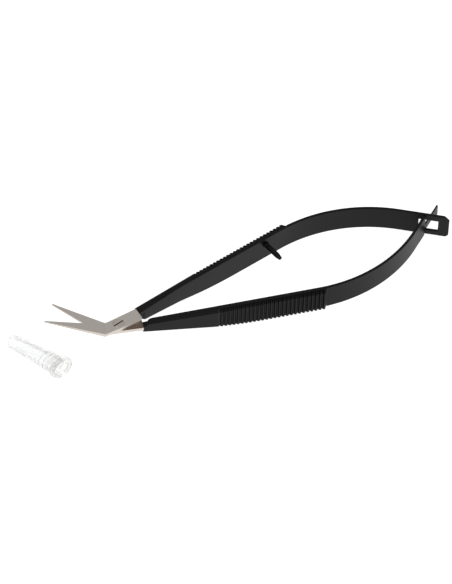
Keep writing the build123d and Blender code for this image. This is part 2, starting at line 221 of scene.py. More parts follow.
def loft(rings):
    """Closed bmesh through rings of points, with flat ends."""
    mesh = bmesh.new()
    rows = [[mesh.verts.new(point) for point in ring] for ring in rings]
    for row, following in zip(rows, rows[1:]):
        for index in range(len(row)):
            mesh.faces.new((row[index - 1], row[index], following[index], following[index - 1]))
    mesh.faces.new(rows[0])
    mesh.faces.new(rows[-1])
    bmesh.ops.recalc_face_normals(mesh, faces=mesh.faces)
    return mesh


def softened(solid, radius):
    """Copy of a CAD node as a bmesh, with its sharp edges rounded."""
    same_point = 0.002 * mm
    flat_angle = radians(0.5)
    sharp_angle = radians(30)
    mesh = bmesh.new()
    mesh.from_mesh(frame["nodes"][solid].data)
    bmesh.ops.remove_doubles(mesh, verts=mesh.verts, dist=same_point)
    bmesh.ops.dissolve_limit(mesh, angle_limit=flat_angle, verts=mesh.verts, edges=mesh.edges)
    sharp = [edge for edge in mesh.edges if edge.is_manifold and edge.calc_face_angle() > sharp_angle]
    bmesh.ops.bevel(mesh, geom=sharp, offset=radius, segments=2, profile=0.5, affect="EDGES")
    return mesh


def cut(mesh, point, direction):
    """Cut a bmesh off on the far side of a point, and close it there."""
    every = mesh.verts[:] + mesh.edges[:] + mesh.faces[:]
    found = bmesh.ops.bisect_plane(mesh, geom=every, plane_co=point, plane_no=direction, clear_outer=True)
    edges = [part for part in found["geom_cut"] if isinstance(part, bmesh.types.BMEdge)]
    bmesh.ops.contextual_create(mesh, geom=edges)


def piece(name, meshes, finish, crease=35):
    """One named object from bmeshes, smooth up to a crease in degrees, with its finish."""
    data = bpy.data.meshes.new(name)
    whole = bmesh.new()
    for mesh in meshes:
        mesh.to_mesh(data)
        mesh.free()
        whole.from_mesh(data)
    whole.to_mesh(data)
    whole.free()
    data.materials.clear()
    data.materials.append(finish)
    data.shade_smooth()
    data.set_sharp_from_angle(angle=radians(crease))
    made = bpy.data.objects.new(name, data)
    bpy.context.scene.collection.objects.link(made)
    weighted = made.modifiers.new("Flat faces", "WEIGHTED_NORMAL")
    weighted.weight = 100
    weighted.keep_sharp = True
    applied(made)
    return made


def applied(made):
    """Turn an object's modifiers into its plain mesh."""
    graph = bpy.context.evaluated_depsgraph_get()
    shaped = made.evaluated_get(graph)
    data = bpy.data.meshes.new_from_object(shaped, preserve_all_data_layers=True, depsgraph=graph)
    made.modifiers.clear()
    made.data = data
    data.name = made.name


def combined(mesh, other, operation):
    """Two bmeshes joined or cut by a boolean, as one bmesh."""
    parts = []
    for one in (mesh, other):
        data = bpy.data.meshes.new("part")
        one.to_mesh(data)
        one.free()
        parts.append(bpy.data.objects.new("part", data))
        bpy.context.scene.collection.objects.link(parts[-1])
    modifier = parts[0].modifiers.new("Join", "BOOLEAN")
    modifier.operation = operation
    modifier.solver = "EXACT"
    modifier.object = parts[1]
    applied(parts[0])
    result = bmesh.new()
    result.from_mesh(parts[0].data)
    for part in parts:
        bpy.data.objects.remove(part)
    return result


# ---- nodes ----


def node(tree, kind, inputs=None, **settings):
    """Add a node; an input that is another node's output is linked, and any other is its value."""
    made = tree.nodes.new(kind)
    for name, value in settings.items():
        setattr(made, name, value)
    for name, value in (inputs or {}).items():
        if isinstance(value, bpy.types.NodeSocket):
            tree.links.new(value, made.inputs[name])
        else:
            made.inputs[name].default_value = value
    return made


def material(name):
    """Empty material and its tree."""
    made = bpy.data.materials.new(name)
    made.use_nodes = True
    made.node_tree.nodes.clear()
    return made, made.node_tree


def satin_black_coating():
    """Electrocoat baked on steel: a thin, nearly black, satin film with a faint orange peel."""
    made, tree = material("Satin_black_coating")
    finishes = bpy.context.scene.snips_finishes
    place = node(tree, "ShaderNodeTexCoord").outputs["Object"]
    peel_size = 0.35 * mm
    peel = node(tree, "ShaderNodeTexNoise", {"Vector": place, "Scale": 1 / peel_size, "Detail": 2.0})
    rough = node(tree, "ShaderNodeMapRange", {"Value": peel.outputs["Fac"], "To Min": 0.34, "To Max": 0.44})
    bump = node(tree, "ShaderNodeBump", {
        "Height": peel.outputs["Fac"], "Strength": 0.25, "Distance": 0.01 * mm})
    # painted shade: the grooves between the ridges get far less gloss than the ridges, so they look darker, as if
    # shaded
    groove_shade = node(tree, "ShaderNodeAttribute", attribute_name="groove_shade").outputs["Fac"]
    gloss = node(tree, "ShaderNodeMapRange", {"Value": groove_shade, "From Max": 0.6, "To Min": 0.2, "To Max": 0.02})
    shader = node(tree, "ShaderNodeBsdfPrincipled", {
        "Base Color": finishes.coating,
        "Roughness": rough.outputs["Result"],
        "Specular IOR Level": gloss.outputs["Result"],
        "Normal": bump.outputs["Normal"],
    })
    node(tree, "ShaderNodeOutputMaterial", {"Surface": shader.outputs["BSDF"]})
    return made


def darkened_place(tree, place, low, high, front):
    """Mask of what lies between two heights and behind an x, all in the row frame."""
    spot = node(tree, "ShaderNodeSeparateXYZ", {"Vector": place}).outputs
    above = node(tree, "ShaderNodeMath", {0: spot["Z"], 1: low}, operation="GREATER_THAN")
    below = node(tree, "ShaderNodeMath", {0: spot["Z"], 1: high}, operation="LESS_THAN")
    behind = node(tree, "ShaderNodeMath", {0: spot["X"], 1: front}, operation="GREATER_THAN")
    between = node(tree, "ShaderNodeMath", {
        0: above.outputs[0], 1: below.outputs[0]}, operation="MULTIPLY")
    return node(tree, "ShaderNodeMath", {
        0: between.outputs[0], 1: behind.outputs[0]}, operation="MULTIPLY").outputs[0]


def ground_steel(name, base, angle, shade_and_dirt, darkened):
    """Stainless steel ground on a fine belt: satin and scratched one way, with one place painted darker for shade,
    and in the screw's slot also for dirt.

    The angle is the way of the scratches, and soiled gives that place's low and high end and its front.
    """
    made, tree = material(name)
    place = node(tree, "ShaderNodeTexCoord").outputs["Object"]
    turned = node(tree, "ShaderNodeMapping", {"Vector": place, "Rotation": (0, 0, angle)})
    # real scratches are finer than 0.05 mm; they are drawn coarser, so that they show
    scratch_width = 0.22 * mm
    scratch_length = 5 * mm
    stretched = node(tree, "ShaderNodeMapping", {
        "Vector": turned.outputs["Vector"],
        "Scale": (1 / scratch_length, 1 / scratch_width, 1 / scratch_width),
    })
    scratches = node(tree, "ShaderNodeTexNoise", {
        "Vector": stretched.outputs["Vector"], "Scale": 1.0, "Detail": 3.0}).outputs["Fac"]
    rough = node(tree, "ShaderNodeMapRange", {"Value": scratches, "To Min": 0.36, "To Max": 0.5})
    tone = node(tree, "ShaderNodeMapRange", {"Value": scratches, "To Min": 0.8, "To Max": 1.0})
    bare_tone = node(tree, "ShaderNodeMix", {
        "Factor": 1.0, "A": base, "B": tone.outputs["Result"]}, data_type="RGBA", blend_type="MULTIPLY")
    # painted shade: the masked place takes the darker colour in place of the steel's own
    shade = node(tree, "ShaderNodeMix", {
        "Factor": darkened_place(tree, place, *darkened),
        "A": bare_tone.outputs["Result"],
        "B": shade_and_dirt,
    }, data_type="RGBA")
    bump = node(tree, "ShaderNodeBump", {"Height": scratches, "Strength": 0.2, "Distance": 0.01 * mm})
    shader = node(tree, "ShaderNodeBsdfPrincipled", {
        "Base Color": shade.outputs["Result"],
        "Metallic": 1.0,
        "Roughness": rough.outputs["Result"],
        "Normal": bump.outputs["Normal"],
    })
    node(tree, "ShaderNodeOutputMaterial", {"Surface": shader.outputs["BSDF"]})
    return made


def clear_plastic():
    """Clear polypropylene, moulded: see-through with a slight haze and soft highlights on its edges."""
    made, tree = material("Clear_moulded_polypropylene")
    finishes = bpy.context.scene.snips_finishes
    place = node(tree, "ShaderNodeTexCoord").outputs["Object"]
    haze_size = 1.5 * mm
    haze = node(tree, "ShaderNodeTexNoise", {"Vector": place, "Scale": 1 / haze_size, "Detail": 2.0})
    rough = node(tree, "ShaderNodeMapRange", {"Value": haze.outputs["Fac"], "To Min": 0.05, "To Max": 0.15})
    # the thick rim and the ribs look milky beside the thin wall
    frost = node(tree, "ShaderNodeAttribute", attribute_name="frost").outputs["Fac"]
    tint = node(tree, "ShaderNodeMix", {
        "Factor": frost, "A": finishes.cap, "B": finishes.rim}, data_type="RGBA")
    shader = node(tree, "ShaderNodeBsdfPrincipled", {
        "Base Color": tint.outputs["Result"],
        "Roughness": rough.outputs["Result"],
        "IOR": 1.49,
        "Transmission Weight": 1.0,
        "Alpha": 0.5,
    })
    node(tree, "ShaderNodeOutputMaterial", {"Surface": shader.outputs["BSDF"]})
    return made


# ---- pieces ----


class SNIPS_OT_blades(bpy.types.Operator):
    """Make both bent blades and the pivot screw"""

    bl_idname = "snips.blades"
    bl_label = "Blades and Screw"

    def execute(self, context):
        finishes = context.scene.snips_finishes
        # painted shadow: behind the pivot, the top of the lower plate is painted brown for the shadow that the
        # upper plate casts on it
        shadow_depth = 0.06 * mm
        shadow_start = pivot.x + 0.3 * mm
        shadowed = (pivot.z - shadow_depth, pivot.z, shadow_start)
        # the slot across the screw's head is painted darker from a little below the top down, for the shade in the
        # slot and for some dirt
        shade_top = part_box("pivot_screw")[1].z - 0.15 * mm
        shade_start = pivot.x - 2 * mm
        in_slot = (0.0, shade_top, shade_start)
        # each blade is ground in a direction of its own
        for arm, grinding in (("slot", radians(-31)), ("hook", radians(-57))):
            steel = ground_steel(f"Ground_steel_{arm}", finishes.blade, grinding, finishes.plate_shadow, shadowed)
            blade = softened(f"{arm}_blade", finishes.steel_edge)
            blade = piece(f"{arm}_blade_ground", [blade], steel)
            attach(blade, f"{arm}_arm")
            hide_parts(f"{arm}_blade")
        turned = ground_steel("Turned_steel", finishes.screw, 0, finishes.dirt_and_shade, in_slot)
        screw = softened("pivot_screw", finishes.screw_edge)
        screw = piece("pivot_screw_turned", [screw], turned)
        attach(screw, "hook_arm")
        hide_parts("pivot_screw")
        return {"FINISHED"}


def ridge_end():
    """Where the last ridge ends, along a grip."""
    grip = bpy.context.scene.snips_grip
    return grip.ridge_start + grip.ridge_pitch * (grip.ridge_count - 1) + grip.ridge_land


def groove_start():
    """Where the groove ahead of the first ridge starts, along a grip."""
    grip = bpy.context.scene.snips_grip
    return grip.ridge_start - grip.ridge_pitch + grip.ridge_land


def grip_outer(run):
    """How far out a grip's face lies at a run, without the ridges, and how far out its bevel starts."""
    arm = bpy.context.scene.snips_arm
    grip = bpy.context.scene.snips_grip
    face = arm.inner_offset + grip.thickness
    if run < groove_start():
        outer = face - tan(grip.lead_turn) * (grip.ridge_start - run)
        return outer, outer - grip.bevel
    if run < ridge_end():
        back = (run - grip.ridge_start) / (ridge_end() - grip.ridge_land - grip.ridge_start)
        depth = grip.depth_front + (grip.depth_back - grip.depth_front) * min(max(back, 0), 1)
        return face - depth, face - grip.bevel - sqrt(2) * depth
    foot, outward, _ = strip_line(ridge_end() + grip.ramp_run)
    low = (foot + outward * arm.strip_thickness).y
    part = (run - ridge_end()) / grip.ramp_run
    return face + (low - face) * part - 4 * grip.ramp_hollow * part * (1 - part), face - grip.bevel


def underside(run):
    """Rise of a grip's underside at a run."""
    grip = bpy.context.scene.snips_grip
    short = max(grip.underside_end - run, 0)
    return grip.underside_radius - sqrt(grip.underside_radius ** 2 - short ** 2)


def grip_ring(run):
    """Section of a grip at a run, in its arm's own frame."""
    arm = bpy.context.scene.snips_arm
    outer, bevel_start = grip_outer(run)
    bowed = max(run - arm.bow_start, 0)
    inner = arm.inner_offset - (arm.bow_radius - sqrt(arm.bow_radius ** 2 - bowed ** 2))
    # the bevel always leaves room for the rounding at both of its ends
    least_bevel = arm.edge * 2.5
    bevel_start = min(bevel_start, outer - least_bevel)
    bevel = outer - bevel_start
    low = arm_bottom + underside(run)
    corners = [(inner, low), (bevel_start, low), (outer, low + bevel), (outer, arm_top - bevel),
               (bevel_start, arm_top), (inner, arm_top)]
    return rounded([Vector((run, *corner)) for corner in corners], arm.edge)


def grip_rear():
    """Grip behind its plain front, without the ridges."""
    grip = bpy.context.scene.snips_grip
    flank = (grip.ridge_pitch - grip.ridge_land - grip.groove_floor) / 2
    foot = groove_start() + flank
    just_ahead = 0.01 * mm
    steps = 24
    ramp_steps = 10
    lead = [grip.seam, groove_start() - just_ahead]
    level = [foot + (ridge_end() - grip.ridge_land - foot) * step / steps for step in range(steps + 1)]
    ramp = [ridge_end() + grip.ramp_run * step / ramp_steps for step in range(ramp_steps + 1)]
    return loft([grip_ring(run) for run in lead + level + ramp])


def pocket():
    """Cutter for the blind hole in the hooked arm's grip."""
    grip = bpy.context.scene.snips_grip
    radius = grip.pocket / 2
    place = Vector((grip.pocket_run, bpy.context.scene.snips_arm.inner_offset, arm_top - grip.pocket_drop))
    across = Matrix.Translation(place) @ Matrix.Rotation(pi / 2, 4, "X")
    cutter = bmesh.new()
    bmesh.ops.create_cone(
        cutter, cap_ends=True, segments=48, radius1=radius, radius2=radius,
        depth=2 * grip.pocket_depth, matrix=across
    )
    return cutter


class SNIPS_OT_grips(bpy.types.Operator):
    """Make both grips without their ridges"""

    bl_idname = "snips.grips"
    bl_label = "Grips"

    def execute(self, context):
        coating = satin_black_coating()
        seam = context.scene.snips_grip.seam
        for arm, side in arms:
            place = arm_place(side)
            front = softened(f"{arm}_grip", context.scene.snips_arm.edge)
            cut(front, place @ Vector((seam, 0, 0)), place.to_3x3() @ Vector((1, 0, 0)))
            rear = grip_rear()
            if arm == "hook":
                rear = combined(rear, pocket(), "DIFFERENCE")
            rear.transform(place)
            bmesh.ops.recalc_face_normals(rear, faces=rear.faces)
            made = piece(f"{arm}_grip_coated", [front, rear], coating)
            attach(made, f"{arm}_arm")
            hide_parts(f"{arm}_grip")
        return {"FINISHED"}


def ridge_row():
    """Node tree that sets a row of ridges along a grip; each one grows out of the bevelled grip."""
    tree = bpy.data.node_groups.new("Ridge row", "GeometryNodeTree")
    tree.interface.new_socket("Geometry", in_out="OUTPUT", socket_type="NodeSocketGeometry")
    tree.interface.new_socket("Ridges", in_out="INPUT", socket_type="NodeSocketInt")
    for name in ("Pitch", "Start", "Land", "Floor", "Front Depth", "Back Depth", "Face", "Bevel",
                 "Top", "Bottom", "Underside End", "Underside Radius"):
        tree.interface.new_socket(name, in_out="INPUT", socket_type="NodeSocketFloat")
    tree.interface.new_socket("Coating", in_out="INPUT", socket_type="NodeSocketMaterial")
    sizes = node(tree, "NodeGroupInput").outputs
    index = node(tree, "GeometryNodeInputIndex").outputs["Index"]
    place = node(tree, "GeometryNodeInputPosition").outputs["Position"]
    stored = {}
    for name, kind in (("corner", "FLOAT_VECTOR"), ("middle", "FLOAT_VECTOR"), ("back", "FLOAT")):
        found = node(tree, "GeometryNodeInputNamedAttribute", {"Name": name}, data_type=kind)
        stored[name] = found.outputs["Attribute"]
    corner = node(tree, "ShaderNodeSeparateXYZ", {"Vector": stored["corner"]}).outputs
    middle = node(tree, "ShaderNodeSeparateXYZ", {"Vector": stored["middle"]}).outputs
    values = {size.name: size for size in sizes}
    values.update({
        "index": index, "middle x": middle["X"], "back": stored["back"],
        "corner x": corner["X"], "corner y": corner["Y"], "corner z": corner["Z"],
    })
    # a block's rows of points lie a sixth and a half of its height from its middle
    between_rows = 0.3
    # each line has the name of a value, what is done, and the values or numbers it is done to
    sums = (
        ("half land", "DIVIDE", "Land", 2.0),
        ("first middle", "ADD", "Start", "half land"),
        ("last", "SUBTRACT", "Ridges", 1.0),
        ("part of row", "DIVIDE", "index", "last"),
        # the outer side of a block is a ridge's land, and its inner side is level with the grooves
        ("outer", "GREATER_THAN", "corner y", 0.0),
        ("upper", "GREATER_THAN", "corner z", 0.0),
        ("off middle", "ABSOLUTE", "corner z"),
        ("at edge", "GREATER_THAN", "off middle", between_rows),
        # a ridge is as wide at its foot as the grooves leave it, and the last one ends at its land
        ("foot", "SUBTRACT", "Pitch", "Floor"),
        ("land less foot", "SUBTRACT", "Land", "foot"),
        ("width", "MULTIPLY_ADD", "land less foot", "outer", "foot"),
        ("half width", "DIVIDE", "width", 2.0),
        ("way", "SIGN", "corner x"),
        ("free x", "MULTIPLY_ADD", "way", "half width", "middle x"),
        ("first end", "ADD", "Start", "Land"),
        ("row end", "MULTIPLY_ADD", "Pitch", "last", "first end"),
        ("x", "MINIMUM", "free x", "row end"),
        # the grooves get deeper towards the back, and the bevels start further in on their floor
        ("deepening", "SUBTRACT", "Back Depth", "Front Depth"),
        ("depth", "MULTIPLY_ADD", "deepening", "back", "Front Depth"),
        ("minus depth", "SUBTRACT", 0.0, "depth"),
        ("sunk", "MULTIPLY_ADD", "minus depth", "outer", "depth"),
        ("bevel", "MULTIPLY_ADD", "sunk", sqrt(2) - 1, "Bevel"),
        ("level", "SUBTRACT", "Face", "sunk"),
        ("setback", "MULTIPLY", "at edge", "bevel"),
        ("y", "SUBTRACT", "level", "setback"),
        ("minus bevel", "SUBTRACT", 0.0, "bevel"),
        ("drop", "MULTIPLY_ADD", "minus bevel", "at edge", "bevel"),
        # the underside rises on a long arc towards the front
        ("before end", "SUBTRACT", "Underside End", "x"),
        ("short", "MAXIMUM", "before end", 0.0),
        ("radius squared", "MULTIPLY", "Underside Radius", "Underside Radius"),
        ("short squared", "MULTIPLY", "short", "short"),
        ("across squared", "SUBTRACT", "radius squared", "short squared"),
        ("across", "SQRT", "across squared"),
        ("rise", "SUBTRACT", "Underside Radius", "across"),
        ("underside", "ADD", "Bottom", "rise"),
        ("low", "ADD", "underside", "drop"),
        ("high", "SUBTRACT", "Top", "drop"),
        ("height", "SUBTRACT", "high", "low"),
        ("z", "MULTIPLY_ADD", "height", "upper", "low"),
        # painted shade: the inner side of each block, level with the grooves, is marked for less gloss
        ("groove_shade", "SUBTRACT", 1.0, "outer"),
    )
    for name, operation, *parts in sums:
        inputs = {socket: values.get(part, part) for socket, part in enumerate(parts)}
        values[name] = node(tree, "ShaderNodeMath", inputs, operation=operation).outputs[0]
    first = node(tree, "ShaderNodeCombineXYZ", {"X": values["first middle"]})
    step = node(tree, "ShaderNodeCombineXYZ", {"X": sizes["Pitch"]})
    line = node(tree, "GeometryNodeMeshLine", {
        "Count": sizes["Ridges"],
        "Start Location": first.outputs["Vector"],
        "Offset": step.outputs["Vector"],
    })
    points = node(tree, "GeometryNodeStoreNamedAttribute", {
        "Geometry": line.outputs["Mesh"], "Name": "back", "Value": values["part of row"]})
    points = node(tree, "GeometryNodeStoreNamedAttribute", {
        "Geometry": points.outputs["Geometry"], "Name": "middle", "Value": place}, data_type="FLOAT_VECTOR")
    block = node(tree, "GeometryNodeMeshCube", {"Vertices Z": 4})
    block = node(tree, "GeometryNodeStoreNamedAttribute", {
        "Geometry": block.outputs["Mesh"], "Name": "corner", "Value": place}, data_type="FLOAT_VECTOR")
    row = node(tree, "GeometryNodeInstanceOnPoints", {
        "Points": points.outputs["Geometry"], "Instance": block.outputs["Geometry"]})
    row = node(tree, "GeometryNodeRealizeInstances", {"Geometry": row.outputs["Instances"]})
    shaped = node(tree, "GeometryNodeSetPosition", {
        "Geometry": row.outputs["Geometry"],
        "Position": node(tree, "ShaderNodeCombineXYZ", {
            "X": values["x"], "Y": values["y"], "Z": values["z"]}).outputs["Vector"],
    })
    shaped = node(tree, "GeometryNodeStoreNamedAttribute", {
        "Geometry": shaped.outputs["Geometry"], "Name": "groove_shade", "Value": values["groove_shade"]})
    coated = node(tree, "GeometryNodeSetMaterial", {
        "Geometry": shaped.outputs["Geometry"], "Material": sizes["Coating"]})
    node(tree, "NodeGroupOutput", {"Geometry": coated.outputs["Geometry"]})
    return tree


def grown(tree, values):
    """Plain mesh that a node tree makes from named values, as a bmesh."""
    carrier = bpy.data.objects.new(tree.name, bpy.data.meshes.new(tree.name))
    bpy.context.scene.collection.objects.link(carrier)
    modifier = carrier.modifiers.new(tree.name, "NODES")
    modifier.node_group = tree
    for item in tree.interface.items_tree:
        if item.in_out == "INPUT":
            modifier[item.identifier] = values[item.name]
    applied(carrier)
    mesh = bmesh.new()
    mesh.from_mesh(carrier.data)
    bpy.data.objects.remove(carrier)
    return mesh


class SNIPS_OT_ridges(bpy.types.Operator):
    """Make the row of ridges on each grip"""

    bl_idname = "snips.ridges"
    bl_label = "Grip Ridges"

    def execute(self, context):
        grip = context.scene.snips_grip
        face = context.scene.snips_arm.inner_offset + grip.thickness
        tree = ridge_row()
        coating = satin_black_coating()
        for arm, side in arms:
            row = grown(tree, {
                "Ridges": grip.ridge_count, "Pitch": grip.ridge_pitch, "Start": grip.ridge_start,
                "Land": grip.ridge_land, "Floor": grip.groove_floor, "Front Depth": grip.depth_front,
                "Back Depth": grip.depth_back, "Face": face, "Bevel": grip.bevel,
                "Top": arm_top, "Bottom": arm_bottom,
                "Underside End": grip.underside_end, "Underside Radius": grip.underside_radius,
                "Coating": coating,
            })
            row.transform(arm_place(side))
            bmesh.ops.recalc_face_normals(row, faces=row.faces)
            made = piece(f"{arm}_grip_ridges", [row], coating, crease=15)
            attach(made, f"{arm}_arm")
        return {"FINISHED"}


def spring_ring(run):
    """Section of a spring strip at a run, in its arm's own frame."""
    arm = bpy.context.scene.snips_arm
    thick = arm.strip_thickness
    point, outward, _ = strip_line(run)
    corners = [(0, arm_bottom), (thick, arm_bottom), (thick, arm_top), (0, arm_top)]
    section = rounded([Vector(corner) for corner in corners], arm.edge)
    return [point + outward * spot.x + Vector((0, 0, spot.y)) for spot in section]


def spring(side, start, end):
    """Length of a spring strip between two runs."""
    step_length = 0.7 * mm
    steps = round((end - start) / step_length)
    mesh = loft([spring_ring(start + (end - start) * step / steps) for step in range(steps + 1)])
    mesh.transform(arm_place(side))
    bmesh.ops.recalc_face_normals(mesh, faces=mesh.faces)
    return mesh


class SNIPS_OT_springs(bpy.types.Operator):
    """Make both spring strips, which bend as the handles close"""

    bl_idname = "snips.springs"
    bl_label = "Springs"

    def execute(self, context):
        sizes = context.scene.snips_arm
        coating = satin_black_coating()
        grip_end = ridge_end() + context.scene.snips_grip.ramp_run
        for arm, side in arms:
            place = arm_place(side)
            handle, bow, tail = f"{arm}_arm", f"{arm}_strip_bow", f"{arm}_strip_tail"
            front = spring(side, grip_end, sizes.bow_seam)
            front = piece(f"{arm}_spring_front", [front], coating)
            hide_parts(f"{arm}_strip_root", bow)
            flexing(front)
            seam, _, along = strip_line(sizes.tail_seam)
            straight = softened(tail, sizes.edge)
            cut(straight, place @ seam, place.to_3x3() @ -along)
            rear = spring(side, sizes.bow_seam, sizes.tail_seam)
            rear = piece(f"{arm}_spring_rear", [rear, straight], coating)
            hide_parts(tail)
            flexing(rear)
        return {"FINISHED"}


def flexing(made):
    """Bake a length of spring's placement into its mesh."""
    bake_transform(made)


class SNIPS_OT_stop_pin(bpy.types.Operator):
    """Make the stop pin between the grips"""

    bl_idname = "snips.stop_pin"
    bl_label = "Stop Pin"

    def execute(self, context):
        pin = softened("stop_pin", context.scene.snips_arm.edge)
        pin = piece("stop_pin_coated", [pin], satin_black_coating())
        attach(pin, "slot_arm")
        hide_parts("stop_pin")
        return {"FINISHED"}


def cap_place():
    """Matrix from the cap's own frame, whose Z runs from the open end, to the row frame."""
    mouth = next(mount for mount in frame["record"]["mounts"] if mount["name"] == "cap_mouth")
    way = -Vector(mouth["axis"])
    sideways = Vector((0, 0, 1)).cross(way).normalized()
    down = sideways.cross(way)
    return Matrix.Translation(mouth["pos_m"]) @ Matrix((down, sideways, way)).transposed().to_4x4()


def turned_round(outline):
    """Closed bmesh turned round the Z axis from an outline of radius and height."""
    same_point = 0.001 * mm
    mesh = bmesh.new()
    verts = [mesh.verts.new((radius, 0, height)) for radius, height in outline]
    edges = [mesh.edges.new(pair) for pair in zip(verts, verts[1:])]
    bmesh.ops.spin(mesh, geom=verts + edges, axis=(0, 0, 1), cent=(0, 0, 0), angle=2 * pi,
                   steps=round_steps)
    bmesh.ops.remove_doubles(mesh, verts=mesh.verts, dist=same_point)
    bmesh.ops.recalc_face_normals(mesh, faces=mesh.faces)
    return mesh


def quarter(radius, height, steps):
    """Quarter round from a tube's wall to its axis."""
    return [(radius * cos(pi / 2 * step / steps), height + radius * sin(pi / 2 * step / steps))
            for step in range(steps + 1)]


def cap_outline():
    """Half section of the cap without its ribs, from the outside of the closed end round to the inside."""
    cap = bpy.context.scene.snips_cap
    round_start = cap.length - cap.end / 2
    inner = cap.end / 2 - cap.wall
    edge = 0.12 * mm
    outside = quarter(cap.end / 2, round_start, 10)
    inside = quarter(inner, round_start, 8)
    rim = [
        (cap.front / 2, cap.rim_length + edge),
        (cap.front / 2 + edge, cap.rim_length),
        (cap.rim / 2 - edge, cap.rim_length),
        (cap.rim / 2, cap.rim_length - edge),
        (cap.rim / 2, edge),
        (cap.rim / 2 - edge, 0),
        (cap.bore / 2 + edge, 0),
        (cap.bore / 2, edge),
        (cap.bore / 2, cap.bore_length),
    ]
    return outside[::-1] + rim + inside


def rib_row():
    """Node tree that sets ribs round a tube that narrows."""
    tree = bpy.data.node_groups.new("Rib row", "GeometryNodeTree")
    tree.interface.new_socket("Geometry", in_out="OUTPUT", socket_type="NodeSocketGeometry")
    tree.interface.new_socket("Ribs", in_out="INPUT", socket_type="NodeSocketInt")
    for name in ("Start", "Pitch", "Radius", "Narrowing", "Rib Radius"):
        tree.interface.new_socket(name, in_out="INPUT", socket_type="NodeSocketFloat")
    tree.interface.new_socket("Plastic", in_out="INPUT", socket_type="NodeSocketMaterial")
    sizes = node(tree, "NodeGroupInput").outputs
    first = node(tree, "ShaderNodeCombineXYZ", {"Z": sizes["Start"]})
    step = node(tree, "ShaderNodeCombineXYZ", {"Z": sizes["Pitch"]})
    line = node(tree, "GeometryNodeMeshLine", {
        "Count": sizes["Ribs"],
        "Start Location": first.outputs["Vector"],
        "Offset": step.outputs["Vector"],
    })
    ring = node(tree, "GeometryNodeCurvePrimitiveCircle", {
        "Resolution": round_steps, "Radius": sizes["Radius"]})
    section = node(tree, "GeometryNodeCurvePrimitiveCircle", {
        "Resolution": 12, "Radius": sizes["Rib Radius"]})
    rib = node(tree, "GeometryNodeCurveToMesh", {
        "Curve": ring.outputs["Curve"], "Profile Curve": section.outputs["Curve"]})
    index = node(tree, "GeometryNodeInputIndex").outputs["Index"]
    narrower = node(tree, "ShaderNodeMath", {
        0: index, 1: sizes["Narrowing"], 2: 1.0}, operation="MULTIPLY_ADD").outputs[0]
    scale = node(tree, "ShaderNodeCombineXYZ", {"X": narrower, "Y": narrower, "Z": 1.0})
    row = node(tree, "GeometryNodeInstanceOnPoints", {
        "Points": line.outputs["Mesh"], "Instance": rib.outputs["Mesh"], "Scale": scale.outputs["Vector"]})
    row = node(tree, "GeometryNodeRealizeInstances", {"Geometry": row.outputs["Instances"]})
    clear = node(tree, "GeometryNodeSetMaterial", {
        "Geometry": row.outputs["Geometry"], "Material": sizes["Plastic"]})
    node(tree, "NodeGroupOutput", {"Geometry": clear.outputs["Geometry"]})
    return tree


def cap_narrowing():
    """How much the tube's radius shrinks along its length."""
    cap = bpy.context.scene.snips_cap
    return (cap.front - cap.end) / 2 / (cap.length - cap.end / 2 - cap.rim_length)


def cap_ribs(plastic):
    """Ribs round the cap, sunk into its wall so that their rounded tops stand out."""
    cap = bpy.context.scene.snips_cap
    sunk = cap.rib_width / 2 - cap.rib_height
    radius = cap.front / 2 - cap_narrowing() * (cap.rib_start - cap.rim_length) - sunk
    ribs = grown(rib_row(), {
        "Ribs": cap.rib_count, "Start": cap.rib_start, "Pitch": cap.rib_pitch, "Radius": radius,
        "Narrowing": -cap_narrowing() * cap.rib_pitch / radius, "Rib Radius": cap.rib_width / 2,
        "Plastic": plastic,
    })
    bmesh.ops.recalc_face_normals(ribs, faces=ribs.faces)
    return ribs


def notch():
    """Cutter for the notch through the cap's rim."""
    cap = bpy.context.scene.snips_cap
    place = Matrix.Translation((cap.rim / 2, 0, cap.rim_length / 2))
    size = Matrix.Diagonal((2 * cap.notch_depth, cap.notch_width, 2 * cap.rim_length, 1))
    cutter = bmesh.new()
    bmesh.ops.create_cube(cutter, size=1.0, matrix=Matrix.Rotation(cap.notch_turn, 4, "Z") @ place @ size)
    return cutter


def frost_thick_parts(shell):
    """Mark the rim and the ribs, which are thicker than the wall of the tube."""
    cap = bpy.context.scene.snips_cap
    clearly_proud = 0.03 * mm
    frost = shell.verts.layers.float.new("frost")
    for vert in shell.verts:
        tube = cap.front / 2 - cap_narrowing() * (vert.co.z - cap.rim_length)
        proud = vert.co.xy.length > tube + clearly_proud
        vert[frost] = float(vert.co.z <= cap.rim_length or proud)


def slant_mouth(shell):
    """Slant the open end and the ribs; the slant fades out from the last rib to the end of the bore."""
    cap = bpy.context.scene.snips_cap
    last_rib = cap.rib_start + cap.rib_pitch * (cap.rib_count - 1) + cap.rib_width
    for vert in shell.verts:
        part = min(max((cap.bore_length - vert.co.z) / (cap.bore_length - last_rib), 0), 1)
        vert.co.z += vert.co.y * tan(cap.mouth_turn) * part


class SNIPS_OT_tip_cap(bpy.types.Operator):
    """Make the clear tip cap with its ribs"""

    bl_idname = "snips.tip_cap"
    bl_label = "Tip Cap"

    def execute(self, context):
        plastic = clear_plastic()
        shell = combined(turned_round(cap_outline()), cap_ribs(plastic), "UNION")
        shell = combined(shell, notch(), "DIFFERENCE")
        frost_thick_parts(shell)
        slant_mouth(shell)
        shell.transform(cap_place())
        made = piece("tip_cap_clear", [shell], plastic)
        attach(made, "tip_cap")
        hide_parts("tip_cap")
        return {"FINISHED"}


# ---- stage ----


